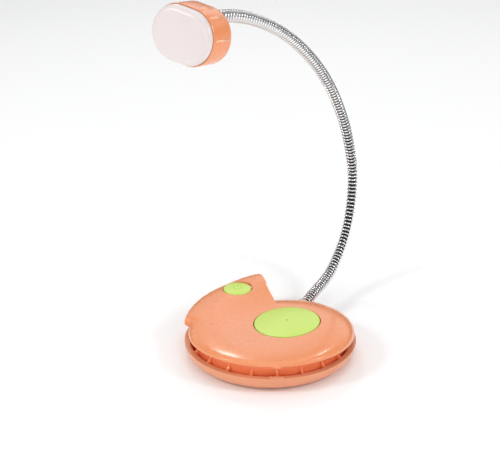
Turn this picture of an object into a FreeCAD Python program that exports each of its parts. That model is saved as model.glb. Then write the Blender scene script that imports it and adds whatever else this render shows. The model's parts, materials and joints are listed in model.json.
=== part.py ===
import FreeCAD, Part
import math
import os
from FreeCAD import Placement, Rotation, Vector

# Clip-on reading lamp: a round spring clip, a nautilus-shaped upper jaw with a power button,
# a bendable metal neck and a stadium-shaped lamp head.
# Frame: origin at the centre of the lower jaw's flat underside, +Z up, clip mouth towards -Y.

doc = FreeCAD.newDocument("ReadingLamp")

SIZES = [
    # clip, lower jaw
    ("JawRadius", 38.0), ("JawHeight", 7.0), ("JawLip", 2.4), ("JawWall", 1.6),
    ("GripRingRadius", 33.5), ("GripRingWall", 1.5), ("RibCount", 20), ("RibWidth", 1.1),
    ("RibTopRadius", 33.8), ("JawBack", 29.0), ("JawBackDrop", 1.8), ("ThumbLength", 6.4),
    ("ThumbDepth", 1.2), ("ThumbShift", 2.7), ("RibFoot", 2.6), ("RibReach", 3.4),
    ("RibFlare", 2.9), ("RibTurn", 94.8), ("RibTop", 9.7), ("BossRadius", 2.6),
    ("BackSlopeStart", 14.0), ("BackSlopeHeight", 7.3), ("BackSlopeAngle", 8.0),
    # plane where the two jaws meet: its height over the origin and its rise to the front
    ("MeetHeight", 9.0), ("MeetSlope", 0.0762), ("MeetGap", 0.3), ("PadThick", 0.7),
    ("PadOut", 22.0), ("PadIn", 14.0), ("PadBack", 4.0), ("CoverThick", 1.4), ("CoverBack", 18.0),
    # hinge
    ("HingeBack", 24.0), ("HingeHeight", 8.0), ("PinRadius", 1.0), ("PinLength", 18.8),
    ("KnuckleRadius", 2.3), ("RunClear", 0.06), ("LugWidth", 2.4), ("LugInner", 6.9),
    ("SpringRadius", 2.2), ("SpringBore", 1.35), ("SpringLength", 6.8),
    ("LegRadius", 0.4), ("LegDownLength", 6.6), ("LegUpLength", 2.2), ("KnuckleGap", 0.3),
    ("KnuckleWebDepth", 4.5), ("KnuckleWebThick", 1.2),
    # battery bay
    ("BayLength", 44.4), ("BayWidth", 21.0), ("BayForward", 11.5), ("BayHeight", 5.6),
    ("CellRadius", 10.0), ("CellThick", 3.2), ("CellOffset", 10.6), ("DoorScrewOut", 25.0),
    ("DoorThick", 1.4), ("DoorGap", 0.2), ("DoorLift", 0.1), ("EarReach", 3.0), ("EarWidth", 10.0),
    ("EarThick", 0.8), ("ScrewGap", 0.15), ("ScrewLength", 4.0), ("ScrewSlotWidth", 0.5),
    ("CellFloor", 1.8), ("NoseWidth", 2.4), ("NoseHeight", 2.2), ("LeafThick", 0.4),
    ("LeafWidth", 9.0), ("LeafHeight", 3.6), ("StripLength", 26.0), ("StripWidth", 5.0),
    ("StripThick", 0.3), ("ScrewRadius", 0.9), ("ScrewHeadRadius", 1.7), ("ScrewHeadThick", 0.6),
    # upper jaw
    ("FrontRadius", 36.75), ("FrontCentre", 0.5), ("BackRadius", 29.85), ("DiscCentre", 7.4),
    ("ShellWall", 1.4), ("PlateThick", 1.0), ("PlateFront", 24.2), ("PlateRaise", 0.4),
    ("CapRadius", 14.6), ("CapThick", 1.4), ("CapHeight", 14.7), ("CapTilt", 3.6),
    ("CapRimThick", 0.3), ("CapCrown", 0.9), ("SeatRim", 1.2), ("SeatThick", 1.0),
    ("PostRadius", 2.3), ("PlateInset", 1.3), ("WindowFront", 20.7), ("PlateScrewLength", 2.8),
    ("PlateHoleGap", 0.35),
    ("LobeTop", 15.5), ("LobeSlope", 0.05), ("LobeLip", 10.0), ("LobeFloorThick", 1.2),
    ("ButtonOut", 15.2), ("ButtonBack", 33.0), ("ButtonRadius", 6.6), ("ButtonGap", 0.3),
    ("ButtonTravel", 0.6), ("ButtonTop", 15.8), ("FlangeRadius", 7.2), ("FlangeThick", 0.6),
    ("BoardRadius", 7.4), ("BoardThick", 0.6), ("SwitchSize", 6.0), ("SwitchThick", 0.8),
    # neck
    ("NeckRadius", 2.6), ("NeckBore", 1.5), ("LinkLength", 24.78), ("CupCut", 1.5),
    ("LeadRadius", 0.45), ("CollarRadius", 3.3), ("CollarLength", 4.5),
    ("ExitOut", 18.8), ("ExitBack", 34.9), ("ExitHeight", 10.4), ("NeckHeading", 65.23), ("EntryRise", 5.42),
    # lamp head
    ("HeadRadius", 10.6), ("HeadHalfFlat", 3.0), ("HeadDepth", 12.1), ("HeadWall", 1.4),
    ("HeadEdge", 2.4), ("LensHeight", 3.1), ("LensEdge", 2.6), ("LensInset", 0.5), ("LensWall", 1.2),
    ("HeadHeading", -124.4), ("HeadRise", 7.1), ("HeadRoll", -9.3), ("LedSize", 3.5),
]

sheet = doc.addObject("Spreadsheet::Sheet", "Size")
for row, (alias, value) in enumerate(SIZES, 1):
    sheet.set("A%d" % row, alias)
    sheet.set("B%d" % row, str(value))
    sheet.setAlias("B%d" % row, alias)
doc.recompute()


def size(alias):
    return float(sheet.get(alias))


# ---- small builders -------------------------------------------------------------------------

def place(x=0.0, y=0.0, z=0.0, turn=None):
    return Placement(Vector(x, y, z), turn or Rotation())


def primitive(kind, name, placement, **links):
    """A Part primitive whose sizes are bound to cells or formulas of the sheet."""
    solid = doc.addObject("Part::" + kind, name)
    for prop, formula in links.items():
        solid.setExpression(prop, formula)
    solid.Placement = placement
    return solid


def cylinder(name, radius, height, placement):
    return primitive("Cylinder", name, placement, Radius=radius, Height=height)


def box(name, length, width, height, placement):
    return primitive("Box", name, placement, Length=length, Width=width, Height=height)


def joined(name, pieces):
    if len(pieces) == 1:
        return pieces[0]
    fuse = doc.addObject("Part::MultiFuse", name)
    fuse.Shapes = pieces
    return fuse


def cut(name, base, tool):
    result = doc.addObject("Part::Cut", name)
    result.Base = base
    result.Tool = tool if not isinstance(tool, list) else joined(name + "Tools", tool)
    return result


def common(name, first, second):
    result = doc.addObject("Part::Common", name)
    result.Base = first
    result.Tool = second
    return result


def feature(name, shape, placement=None):
    solid = doc.addObject("Part::Feature", name)
    solid.Shape = shape
    if placement:
        solid.Placement = placement
    return solid


def group(name, pieces):
    """Identical separate solids that are kept in one node."""
    compound = doc.addObject("Part::Compound", name)
    compound.Links = pieces
    return compound


NODES = {}


def node(label, solid):
    solid.Label = label
    NODES[label] = solid


# ---- the plane where the jaws meet ----------------------------------------------------------

MEET_TILT = Rotation(Vector(1, 0, 0), -math.degrees(math.atan(size("MeetSlope"))))
HUGE = 100.0
WIDE = str(2 * HUGE)
THROUGH = "40"    # height of a tool that passes right through the clip


def meet_place(lift, x=0.0, y=0.0):
    """A placement on the meeting plane, lifted along Z and moved in plan."""
    height = size("MeetHeight") - size("MeetSlope") * y + lift
    return Placement(Vector(x, y, height), MEET_TILT)


def slab_over(name, lift):
    """Everything above the meeting plane."""
    slab = box(name, WIDE, WIDE, str(HUGE), place())
    slab.Placement = meet_place(lift).multiply(place(-HUGE, -HUGE, 0))
    return slab


ALONG_X = Rotation(Vector(0, 1, 0), 90)


def across(name, radius, start, length):
    """A bar along X on the hinge axis, from x = start."""
    return cylinder(name, radius, length,
                    place(start, size("HingeBack"), size("HingeHeight"), ALONG_X))


# ---- lower jaw ------------------------------------------------------------------------------

def lower_shell():
    jaw_floor_radius = "Size.JawRadius - Size.JawHeight"
    height = size("JawHeight")
    core = cylinder("JawCore", jaw_floor_radius, "2 * Size.JawHeight", place())
    bulge = primitive("Torus", "JawBulge", place(z=height),
                      Radius1=jaw_floor_radius, Radius2="Size.JawHeight")
    body = common("JawBody", joined("JawRound", [core, bulge]),
                  cylinder("JawLimit", "Size.JawRadius + 1", "Size.JawHeight", place()))
    groove = primitive("Torus", "JawGroove", place(z=height),
                       Radius1=jaw_floor_radius, Radius2="Size.JawHeight - Size.JawLip")
    hollow = cylinder("JawHollow", "Size.GripRingRadius - Size.GripRingWall", THROUGH,
                      place(z=size("JawWall")))
    ring = cut("GripRing",
               cylinder("GripRingOut", "Size.GripRingRadius", "2 * Size.JawHeight", place(z=size("JawWall"))),
               cylinder("GripRingIn", "Size.GripRingRadius - Size.GripRingWall", "2 * Size.JawHeight",
                        place(z=size("JawWall"))))
    dish = joined("Dish", [cut("DishOpen", body, [groove, hollow]), ring, ribs()])
    dish = cut("DishTrimmed", dish, [slab_over("OverGrip", -size("MeetGap")), back_slope(),
                                     box("BehindJaw", WIDE, WIDE, THROUGH,
                                         place(-HUGE, size("JawBack"), -1))])
    wall = common("JawBackWall", body,
                  box("JawBackSlab", WIDE, "Size.JawWall", "Size.JawHeight - Size.JawBackDrop",
                      place(-HUGE, size("JawBack") - size("JawWall"))))
    forward = -size("BayForward")
    bay_out = common("BayWalls", body,
                     centred_box("BayOut", "Size.BayLength + 2 * Size.JawWall",
                                 "Size.BayWidth + 2 * Size.JawWall", "Size.BayHeight",
                                 0, forward, 0))
    bay_in = centred_box("BayIn", "Size.BayLength", "Size.BayWidth", THROUGH, 0, forward, -1)
    ear = box("EarRecess", "Size.DoorScrewOut + Size.EarReach + 1.5 * Size.DoorGap - Size.BayLength / 2",
              "Size.EarWidth + 3 * Size.DoorGap", "Size.EarThick + Size.DoorGap",
              place(size("BayLength") / 2, forward - size("EarWidth") / 2 - 1.5 * size("DoorGap")))
    boss = cylinder("DoorBoss", "Size.BossRadius", "Size.BayHeight", place(size("DoorScrewOut"), forward))
    boss_hole = cylinder("DoorBossHole", "Size.ScrewRadius", "Size.BayHeight - Size.StripThick - 0.7",
                         place(size("DoorScrewOut"), forward))
    jaw = joined("JawWhole", [dish, wall, bay_out, boss] + lugs() + [thumb_tab()])
    pin_bore = across("LugBore", "Size.PinRadius", -size("PinLength"), "2 * Size.PinLength")
    node("lower_shell", cut("LowerShell", jaw, [bay_in, ear, boss_hole, pin_bore]))


def centred_box(name, length, width, height, x, y, z):
    solid = box(name, length, width, height, place())
    doc.recompute()
    solid.Placement = place(x - solid.Length.Value / 2, y - solid.Width.Value / 2, z)
    return solid


def ribs():
    """Radial ribs between the grip ring and the jaw's lip, hollowed out on their outer side."""
    blades = []
    count = int(size("RibCount"))
    for index in range(count):
        turn = Rotation(Vector(0, 0, 1), 360.0 * index / count + size("RibTurn"))
        blade = box("Rib%d" % index, "Size.RibReach", "Size.RibWidth", "Size.RibTop", place())
        blade.Placement = place(turn=turn).multiply(
            place(size("GripRingRadius") - 0.9, -size("RibWidth") / 2, size("RibFoot")))
        blades.append(blade)
    flare = primitive("Torus", "RibFlare", place(z=size("RibTop")),
                      Radius1="Size.RibTopRadius + Size.RibFlare", Radius2="Size.RibFlare")
    above = cut("RibAbove", cylinder("RibAboveOut", "Size.JawRadius + 7", THROUGH, place(z=size("RibTop"))),
                cylinder("RibAboveIn", "Size.RibTopRadius", THROUGH, place(z=size("RibTop"))))
    return cut("Ribs", joined("RibBlades", blades), [flare, above])


def back_slope():
    """Room for the upper jaw's back edge, which drops as the clip opens."""
    slope = Rotation(Vector(1, 0, 0), -size("BackSlopeAngle"))
    slab = box("OverBack", WIDE, WIDE, THROUGH, place())
    slab.Placement = place(0, size("BackSlopeStart"), size("BackSlopeHeight"), slope).multiply(
        place(-HUGE, 0, 0))
    return slab


def lugs():
    """Two lugs that stand on the floor of the jaw and hold the hinge pin."""
    solids = []
    for side in (-1, 1):
        start = side * (size("LugInner") + size("LugWidth") / 2) - size("LugWidth") / 2
        eye = across("LugEye%d" % side, "Size.KnuckleRadius", start, "Size.LugWidth")
        web = box("LugWeb%d" % side, "Size.LugWidth", "2 * Size.KnuckleRadius",
                  "Size.HingeHeight - 1",
                  place(start, size("HingeBack") - size("KnuckleRadius"), 1))
        solids += [eye, web]
    return solids


def thumb_tab():
    """The small bump on the lip, in the middle of the mouth."""
    depth = size("ThumbDepth")
    return box("ThumbTab", "Size.ThumbLength", "Size.ThumbDepth", "Size.ThumbDepth",
               place(-size("ThumbLength") / 2 + size("ThumbShift"), -size("JawRadius") + 0.5,
                     size("JawHeight") - depth / 2))


def battery_bay():
    forward = -size("BayForward")
    door = centred_box("DoorPlate", "Size.BayLength - 2 * Size.DoorGap",
                       "Size.BayWidth - 2 * Size.DoorGap", "Size.DoorThick", 0, forward,
                       size("DoorLift"))
    ear = box("DoorEar", "Size.DoorScrewOut + Size.EarReach - Size.BayLength / 2 + 1", "Size.EarWidth",
              "Size.EarThick", place(size("BayLength") / 2 - 1, forward - size("EarWidth") / 2,
                                     size("DoorLift")))
    head_hole = cylinder("DoorHeadHole", "Size.ScrewHeadRadius + Size.ScrewGap", "Size.ScrewHeadThick",
                         place(size("DoorScrewOut"), forward))
    shank_hole = cylinder("DoorShankHole", "Size.ScrewRadius + Size.ScrewGap", "Size.BayHeight",
                          place(size("DoorScrewOut"), forward))
    node("battery_door", cut("BatteryDoor", joined("DoorWhole", [door, ear]),
                             [head_hole, shank_hole]))
    screw_head = cylinder("DoorScrewHead", "Size.ScrewHeadRadius", "Size.ScrewHeadThick - 0.2",
                          place(size("DoorScrewOut"), forward, size("ScrewGap")))
    shank = cylinder("DoorScrewShank", "Size.ScrewRadius", "Size.ScrewLength",
                     place(size("DoorScrewOut"), forward, size("ScrewGap")))
    slot = centred_box("DoorScrewSlot", "Size.ScrewHeadRadius * 1.4", "Size.ScrewSlotWidth",
                       "Size.ScrewHeadThick / 2", size("DoorScrewOut"), forward, 0)
    node("door_screw", cut("DoorScrew", joined("DoorScrewWhole", [screw_head, shank]), slot))
    cells = [cylinder("Cell%d" % side, "Size.CellRadius", "Size.CellThick",
                      place(side * size("CellOffset"), forward, size("CellFloor"))) for side in (-1, 1)]
    node("coin_cells", group("CoinCells", cells))
    reach = size("BayLength") / 2 - size("CellOffset") - size("CellRadius")
    for side, label in ((-1, "contact_plus"), (1, "contact_minus")):
        inner = side * (size("CellOffset") + size("CellRadius"))
        touch = size("RunClear") if side > 0 else size("RunClear") - reach
        nose = box(label + "_nose", str(reach - size("RunClear")), "Size.NoseWidth",
                   "Size.NoseHeight", place(inner + touch, forward - size("NoseWidth") / 2,
                                            size("CellFloor") + size("LeafThick")))
        leaf_x = side * size("BayLength") / 2 - (size("LeafThick") if side > 0 else 0.0)
        leaf = box(label + "_leaf", "Size.LeafThick", "Size.LeafWidth", "Size.LeafHeight",
                   place(leaf_x, forward - size("LeafWidth") / 2,
                         size("CellFloor") + size("DoorLift")))
        node(label, joined(label + "_whole", [nose, leaf]))
    node("cell_link", centred_box("CellLink", "Size.StripLength", "Size.StripWidth", "Size.StripThick", 0,
                                  forward, size("CellFloor") + size("CellThick") + 0.02))


def jaw_cover():
    top = -size("MeetGap") - size("PadThick")
    disc = cylinder("CoverDisc", "Size.GripRingRadius - Size.GripRingWall - 0.25", "Size.CoverThick",
                    meet_place(top - size("CoverThick") - 0.02))
    node("jaw_cover", cut("JawCover", disc, box("CoverBack", WIDE, WIDE, THROUGH,
                                                place(-HUGE, size("CoverBack"), 0))))
    pad = cylinder("LowerPadDisc", "Size.PadOut", "Size.PadThick", meet_place(top))
    node("grip_pad_lower", cut("LowerPad", pad, [
        cylinder("LowerPadHole", "Size.PadIn", THROUGH, meet_place(top - 1)),
        box("LowerPadBack", WIDE, WIDE, THROUGH, place(-HUGE, size("PadBack"), 0))]))


def hinge():
    length = size("PinLength")
    node("hinge_pin", across("HingePin", "Size.PinRadius", -length / 2, "Size.PinLength"))
    start = -size("SpringLength") / 2
    coil = cut("SpringCoil", across("SpringOut", "Size.SpringRadius", start, "Size.SpringLength"),
               across("SpringIn", "Size.SpringBore", start - 1, "Size.SpringLength + 2"))
    leg_down = cylinder("SpringLegDown", "Size.LegRadius", "Size.LegDownLength",
                        place(start + 0.6, size("HingeBack") - 1.7, size("HingeHeight") - 0.6,
                              Rotation(Vector(1, 0, 0), 142)))
    leg_up = cylinder("SpringLegUp", "Size.LegRadius", "Size.LegUpLength",
                      place(-start - 0.6, size("HingeBack") + 1.75, size("HingeHeight"),
                            Rotation(Vector(1, 0, 0), -12)))
    node("hinge_spring", joined("HingeSpring", [coil, leg_down, leg_up]))


# ---- upper jaw ------------------------------------------------------------------------------

def disc_outline(inset, height):
    """The plan of the round part: front arc, tighter back-right arc, flat, back-left ellipse."""
    front = size("FrontRadius") - inset
    back = size("BackRadius") - inset
    left = Vector(size("FrontCentre"), 0, 0)
    right = Vector(size("DiscCentre"), 0, 0)
    up = Vector(0, 0, 1)
    edges = [
        Part.ArcOfCircle(Part.Circle(left, up, front), math.pi, 2 * math.pi),
        Part.ArcOfCircle(Part.Circle(right, up, back), 0, math.pi / 2),
        Part.LineSegment(right + Vector(0, back, 0), left + Vector(0, back, 0)),
        Part.ArcOfEllipse(Part.Ellipse(left, front, back), math.pi / 2, math.pi),
    ]
    wire = Part.Wire([edge.toShape() for edge in edges])
    return wire.translated(Vector(0, 0, height))


def tilted(wire, slope_back, rise_right):
    """Shear a flat wire so that its plane drops to the back and rises to the right."""
    shear = FreeCAD.Matrix(1, 0, 0, 0, 0, 1, 0, 0, rise_right, -slope_back, 1,
                           -rise_right * size("DiscCentre"), 0, 0, 0, 1)
    return wire.transformGeometry(shear)


def disc_solid(inset, drop):
    """The round part's body; inset and drop give the cavity inside it."""
    slope = size("MeetSlope")
    top = size("CapHeight")
    rings = [
        (1.1, 6.4, slope, 0.0), (0.0, 10.0, slope, 0.0), (0.7, 11.7, 0.87 * slope, 0.01),
        (2.6, 13.2, 0.6 * slope, 0.02), (6.0, top - 0.6, 0.26 * slope, 0.04),
        (10.5, top - 0.15, 0.06 * slope, 0.055), (15.0, top, 0.0, 0.063),
    ]
    wires = []
    for index, (ring_inset, height, back, right) in enumerate(rings):
        lowered = height - (drop if index else 3.0 * (drop > 0))
        wires.append(tilted(disc_outline(ring_inset + inset, lowered), back, right))
    return Part.makeLoft(wires, True, False)


def lobe_outline(inset):
    """The plan of the nautilus mouth: outer arc, mouth edge and two edges hidden in the disc."""
    start, middle, tip = Vector(-38.5, 5.0, 0), Vector(-26.6, 35.4, 0), Vector(-4.6, 50.3, 0)
    throat = Vector(0.5, 30.0, 0)
    full = Part.Arc(start, middle, tip).toShape().Curve
    centre, radius = full.Center, full.Radius - inset
    along = (tip - throat).normalize()
    inward = Vector(-along.y, along.x, 0)
    base = throat + inward * inset
    offset = base - centre
    reach = -offset.dot(along)
    reach += math.sqrt(reach ** 2 - offset.dot(offset) + radius ** 2)
    new_tip = base + along * reach
    new_start = centre + (start - centre).normalize() * radius
    new_middle = centre + (middle - centre).normalize() * radius
    throat_end = base - along * 14.0
    hidden = Vector(-22, 0, 0)
    return [Part.Arc(new_start, new_middle, new_tip).toShape(),
            Part.LineSegment(new_tip, throat_end).toShape(),
            Part.LineSegment(throat_end, hidden).toShape(),
            Part.LineSegment(hidden, new_start).toShape()]


def lobe_solid(inset, top_drop, bottom):
    """The raised back-left lobe, with a top that climbs towards its tip and a rounded edge."""
    slope = size("LobeSlope")
    wires = [Part.Wire(lobe_outline(inset + 0.8)).translated(Vector(0, 0, bottom)),
             Part.Wire(lobe_outline(inset)).translated(Vector(0, 0, size("LobeLip") + 1.6))]
    for ring_inset, drop in ((0.5, 2.0), (1.6, 0.6), (3.2, 0.0)):
        wire = Part.Wire(lobe_outline(inset + ring_inset))
        shear = FreeCAD.Matrix(1, 0, 0, 0, 0, 1, 0, 0, 0, slope, 1,
                               size("LobeTop") - slope * size("ButtonBack") - drop - top_drop,
                               0, 0, 0, 1)
        wires.append(wire.transformGeometry(shear))
    return Part.makeLoft(wires, True, True)


NECK_HEADING = math.radians(size("NeckHeading"))
# rise of each neck link over the horizontal, from the clip to the head
LINK_RISE = [7.4, 37.1, 75.5, 108.8, 124.0, 134.0, 142.4, 148.9, 155.4, 161.5, 168.8]


def link_direction(index):
    rise = math.radians(LINK_RISE[index])
    return Vector(math.cos(rise) * math.cos(NECK_HEADING), math.cos(rise) * math.sin(NECK_HEADING),
                  math.sin(rise))


def neck_joints():
    """Ends of the links: the first is where the neck leaves the clip."""
    points = [Vector(size("ExitOut"), size("ExitBack"), size("ExitHeight"))]
    for index in range(len(LINK_RISE)):
        points.append(points[-1] + link_direction(index) * size("LinkLength"))
    return points


def pointing(position, direction):
    return Placement(position, Rotation(Vector(0, 0, 1), direction))


def exit_bar(name, radius, start, length):
    """A bar on the neck's axis, from a distance before the exit point."""
    direction = link_direction(0)
    origin = neck_joints()[0] - direction * start
    return cylinder(name, radius, length, pointing(origin, direction))


SCREW_SPOTS = [(-24.0, -10.0), (27.5, -10.0), (20.0, 15.0)]


def cap_place(lift):
    """A placement on the tilted seat of the round cap."""
    turn = Rotation(Vector(0, 1, 0), -size("CapTilt"))
    return Placement(Vector(size("DiscCentre"), 0, size("CapHeight") + lift), turn)


def upper_shell():
    wall = size("ShellWall")
    outside = disc_solid(0.0, 0.0).fuse(lobe_solid(0.0, 0.0, size("LobeLip")))
    behind_front = Part.makeBox(2 * HUGE, 2 * HUGE, HUGE,
                                Vector(-HUGE, -size("PlateFront") - 0.1, -10))
    inside = disc_solid(wall, wall).common(behind_front)
    lobe_inside = lobe_solid(wall, wall + 0.1, size("LobeLip") - 0.6)
    outer = feature("UpperOuter", outside)
    hollow = feature("UpperHollow",
                     outside.cut(inside).cut(lobe_inside))
    bosses = [cylinder("ShellBoss%d" % i, "Size.PostRadius", THROUGH,
                       meet_place(size("PlateRaise") + size("PlateThick") + 0.02, x, y))
              for i, (x, y) in enumerate(SCREW_SPOTS)]
    seat = cylinder("CapSeat", "Size.CapRadius + Size.SeatRim", "Size.CapThick + Size.SeatRim",
                    cap_place(-size("CapThick") - size("SeatThick")))
    walls = joined("UpperWalls", [hollow,
                                  common("UpperPosts", outer, joined("Posts", bosses + [seat]))])
    screw_holes = [cylinder("ShellBossHole%d" % i, "Size.ScrewRadius + Size.RunClear", "3.2",
                            meet_place(size("PlateRaise"), x, y))
                   for i, (x, y) in enumerate(SCREW_SPOTS)]
    under = box("UnderMeet", WIDE, WIDE, str(HUGE), place())
    under.Placement = meet_place(0).multiply(place(-HUGE, -HUGE, -HUGE))
    cap_hole = cylinder("CapHole", "Size.CapRadius + 0.2", "3 * Size.CapThick", cap_place(-size("CapThick")))
    button_hole = cylinder("ButtonHole", "Size.ButtonRadius + Size.ButtonGap", "10",
                           place(-size("ButtonOut"), size("ButtonBack"), 11))
    neck_hole = exit_bar("NeckHole", "Size.NeckRadius + 0.05", 9.0, "12")
    collar_room = exit_bar("CollarRoom", "Size.CollarRadius + 0.05", 13.0, "5.6")
    node("upper_shell", cut("UpperShell", walls, screw_holes + [
        under, cap_hole, button_hole, neck_hole, collar_room]))


def upper_fittings():
    cap = cylinder("CapDisc", "Size.CapRadius", "Size.CapThick + Size.CapRimThick",
                   cap_place(-size("CapThick") + 0.02))
    crown, rim = size("CapCrown"), size("CapRimThick")
    dome_radius = (size("CapRadius") ** 2 + crown ** 2) / (2 * crown)
    dome = primitive("Sphere", "CapDome", cap_place(rim + crown - dome_radius),
                     Radius=str(dome_radius))
    drum = cylinder("CapDrum", "Size.CapRadius", "2 * Size.CapCrown", cap_place(rim - 0.05))
    node("centre_cap", joined("CentreCap", [cap, common("CapCrown", dome, drum)]))
    lift = size("PlateRaise")
    face = Part.Face(disc_outline(size("ShellWall") + size("PlateInset"), 0.0))
    plate = feature("PlateBlank", face.extrude(Vector(0, 0, size("PlateThick"))), meet_place(lift))
    hinge_x = size("LugInner") + size("LugWidth") + 0.4
    front = box("PlateFrontCut", WIDE, str(HUGE), THROUGH,
                place(-HUGE, -HUGE - size("PlateFront"), -10))
    window = box("PlateWindow", str(hinge_x + size("ExitOut")), "20", THROUGH,
                 place(-hinge_x, size("WindowFront"), -5))
    knuckles = []
    for side in (-1, 1):
        gap = size("KnuckleGap")
        inner = size("SpringLength") / 2 + size("LegRadius")
        width = size("LugInner") - gap - inner
        start = inner if side > 0 else gap - size("LugInner")
        knuckles.append(across("Knuckle%d" % side, "Size.KnuckleRadius - 0.1", start, str(width)))
        knuckles.append(box("KnuckleWeb%d" % side, str(width), "Size.KnuckleWebDepth",
                            "Size.KnuckleWebThick",
                            place(start, size("HingeBack") - 4.0, size("HingeHeight") - 0.35)))
    holes = []
    for i, (x, y) in enumerate(SCREW_SPOTS):
        holes.append(cylinder("PlateHole%d" % i, "Size.ScrewRadius + Size.PlateHoleGap", THROUGH,
                              meet_place(-2, x, y)))
        holes.append(cylinder("PlateSink%d" % i, "Size.ScrewHeadRadius + Size.ScrewGap",
                              "Size.ScrewHeadThick + Size.PlateRaise + 1", meet_place(-1, x, y)))
    plate_open = cut("PlateOpen", plate, [front, window] + holes)
    whole = joined("PlateWhole", [plate_open] + knuckles)
    node("upper_plate", cut("UpperPlate", whole, [
        across("KnuckleBore", "Size.PinRadius + Size.RunClear", -8, "16"),
        exit_bar("PlateNeckRoom", "Size.NeckRadius + 0.1", 9.0, "12"),
        exit_bar("PlateCollarRoom", "Size.CollarRadius + 0.1", 13.0, "5.6")]))
    screws = []
    for i, (x, y) in enumerate(SCREW_SPOTS):
        head = cylinder("PlateScrewHead%d" % i, "Size.ScrewHeadRadius", "Size.ScrewHeadThick - 0.1",
                        meet_place(lift + 0.05, x, y))
        shank = cylinder("PlateScrewShank%d" % i, "Size.ScrewRadius", "Size.PlateScrewLength",
                         meet_place(lift + 0.05, x, y))
        screws.append(joined("PlateScrew%d" % i, [head, shank]))
    node("plate_screws", group("PlateScrews", screws))
    pad = cylinder("UpperPadDisc", "Size.PadOut", "Size.PlateRaise - 0.01", meet_place(0.0))
    node("grip_pad_upper", cut("UpperPad", pad, [
        cylinder("UpperPadHole", "Size.PadIn", THROUGH, meet_place(-1)),
        box("UpperPadBack", WIDE, WIDE, THROUGH, place(-HUGE, size("PadBack"), 0))] + [
        cylinder("UpperPadSink%d" % i, "Size.ScrewHeadRadius + 0.4", THROUGH, meet_place(-1, x, y))
        for i, (x, y) in enumerate(SCREW_SPOTS)]))


def switch_bay():
    lip = size("LobeLip")
    thick = size("LobeFloorThick")
    floor = Part.Face(Part.Wire(lobe_outline(size("ShellWall") + 1.1)))
    blank = feature("LobeFloorBlank", floor.extrude(Vector(0, 0, thick)), place(z=lip - thick - 0.1))
    inner = feature("LobeFloorInner", Part.Face(disc_outline(-0.15, 0.0)).extrude(Vector(0, 0, 5)),
                    place(z=lip - thick - 1))
    node("switch_cover", cut("SwitchCover", blank, inner))
    board = cylinder("BoardDisc", "Size.BoardRadius", "Size.BoardThick",
                     place(-size("ButtonOut") + 0.6, size("ButtonBack") - 1.6, lip + 0.02))
    node("circuit_board", board)
    top = lip + 0.02 + size("BoardThick")
    switch = centred_box("SwitchBody", "Size.SwitchSize", "Size.SwitchSize", "Size.SwitchThick",
                         -size("ButtonOut"), size("ButtonBack"), top)
    plunger = cylinder("SwitchPlunger", "1.6", "0.3",
                       place(-size("ButtonOut"), size("ButtonBack"), top + size("SwitchThick")))
    node("tact_switch", joined("TactSwitch", [switch, plunger]))


def power_button():
    x, y = -size("ButtonOut"), size("ButtonBack")
    low = size("LobeLip") + 0.02 + size("BoardThick") + size("SwitchThick") + 0.3
    low += size("ButtonTravel") + 0.05
    flange = cylinder("ButtonFlange", "Size.FlangeRadius", "Size.FlangeThick", place(x, y, low))
    barrel = primitive("Cylinder", "ButtonBarrel", place(x, y, low), Radius="Size.ButtonRadius",
                       Height="Size.ButtonTop - %f" % low)
    node("power_button", joined("PowerButton", [flange, barrel]))


# ---- neck -----------------------------------------------------------------------------------

def neck():
    points = neck_joints()
    last = len(LINK_RISE) - 1
    for index in range(len(LINK_RISE)):
        direction = link_direction(index)
        begin, end = points[index], points[index + 1]
        extra = 11.0 if index == 0 else -size("CupCut")
        start = begin - direction * extra
        tail = 1.3 if index == last else 0.0
        length = size("LinkLength") + extra + tail
        tube = primitive("Cylinder", "Tube%d" % index, pointing(start, direction),
                         Radius="Size.NeckRadius", Height=str(length))
        bore = primitive("Cylinder", "Bore%d" % index, pointing(start - direction, direction),
                         Radius="Size.NeckBore", Height=str(length - 2.0))
        removed = [bore]
        solids = [tube]
        if index < last:
            solids.append(primitive("Sphere", "Ball%d" % index, place(end.x, end.y, end.z),
                                    Radius="Size.NeckRadius"))
        if index > 0:
            removed.append(primitive("Sphere", "Cup%d" % index, place(begin.x, begin.y, begin.z),
                                     Radius="Size.NeckRadius + Size.RunClear"))
        outer = joined("Link%d" % index, solids) if len(solids) > 1 else tube
        node("neck_%d" % (index + 1), cut("Neck%d" % (index + 1), outer, removed))
        leads(index, start, direction, length)
    return points


def leads(index, start, direction, length):
    """The pair of insulated wires inside one link, kept clear of its ends."""
    wires = []
    gap = 3.2
    side = direction.cross(Vector(-math.sin(NECK_HEADING), math.cos(NECK_HEADING), 0)).normalize()
    for way in (-1, 1):
        origin = start + direction * gap + side * (0.55 * way)
        wires.append(primitive("Cylinder", "Lead%d_%d" % (index, way), pointing(origin, direction),
                               Radius="Size.LeadRadius", Height=str(length - gap - 4.0)))
    node("neck_leads_%d" % (index + 1), group("NeckLeads%d" % (index + 1), wires))


def base_collar():
    node("neck_collar", cut("NeckCollar",
                            exit_bar("CollarOut", "Size.CollarRadius", 12.0, "Size.CollarLength"),
                            exit_bar("CollarIn", "Size.NeckRadius", 14.0, "20")))


# ---- lamp head ------------------------------------------------------------------------------

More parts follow.
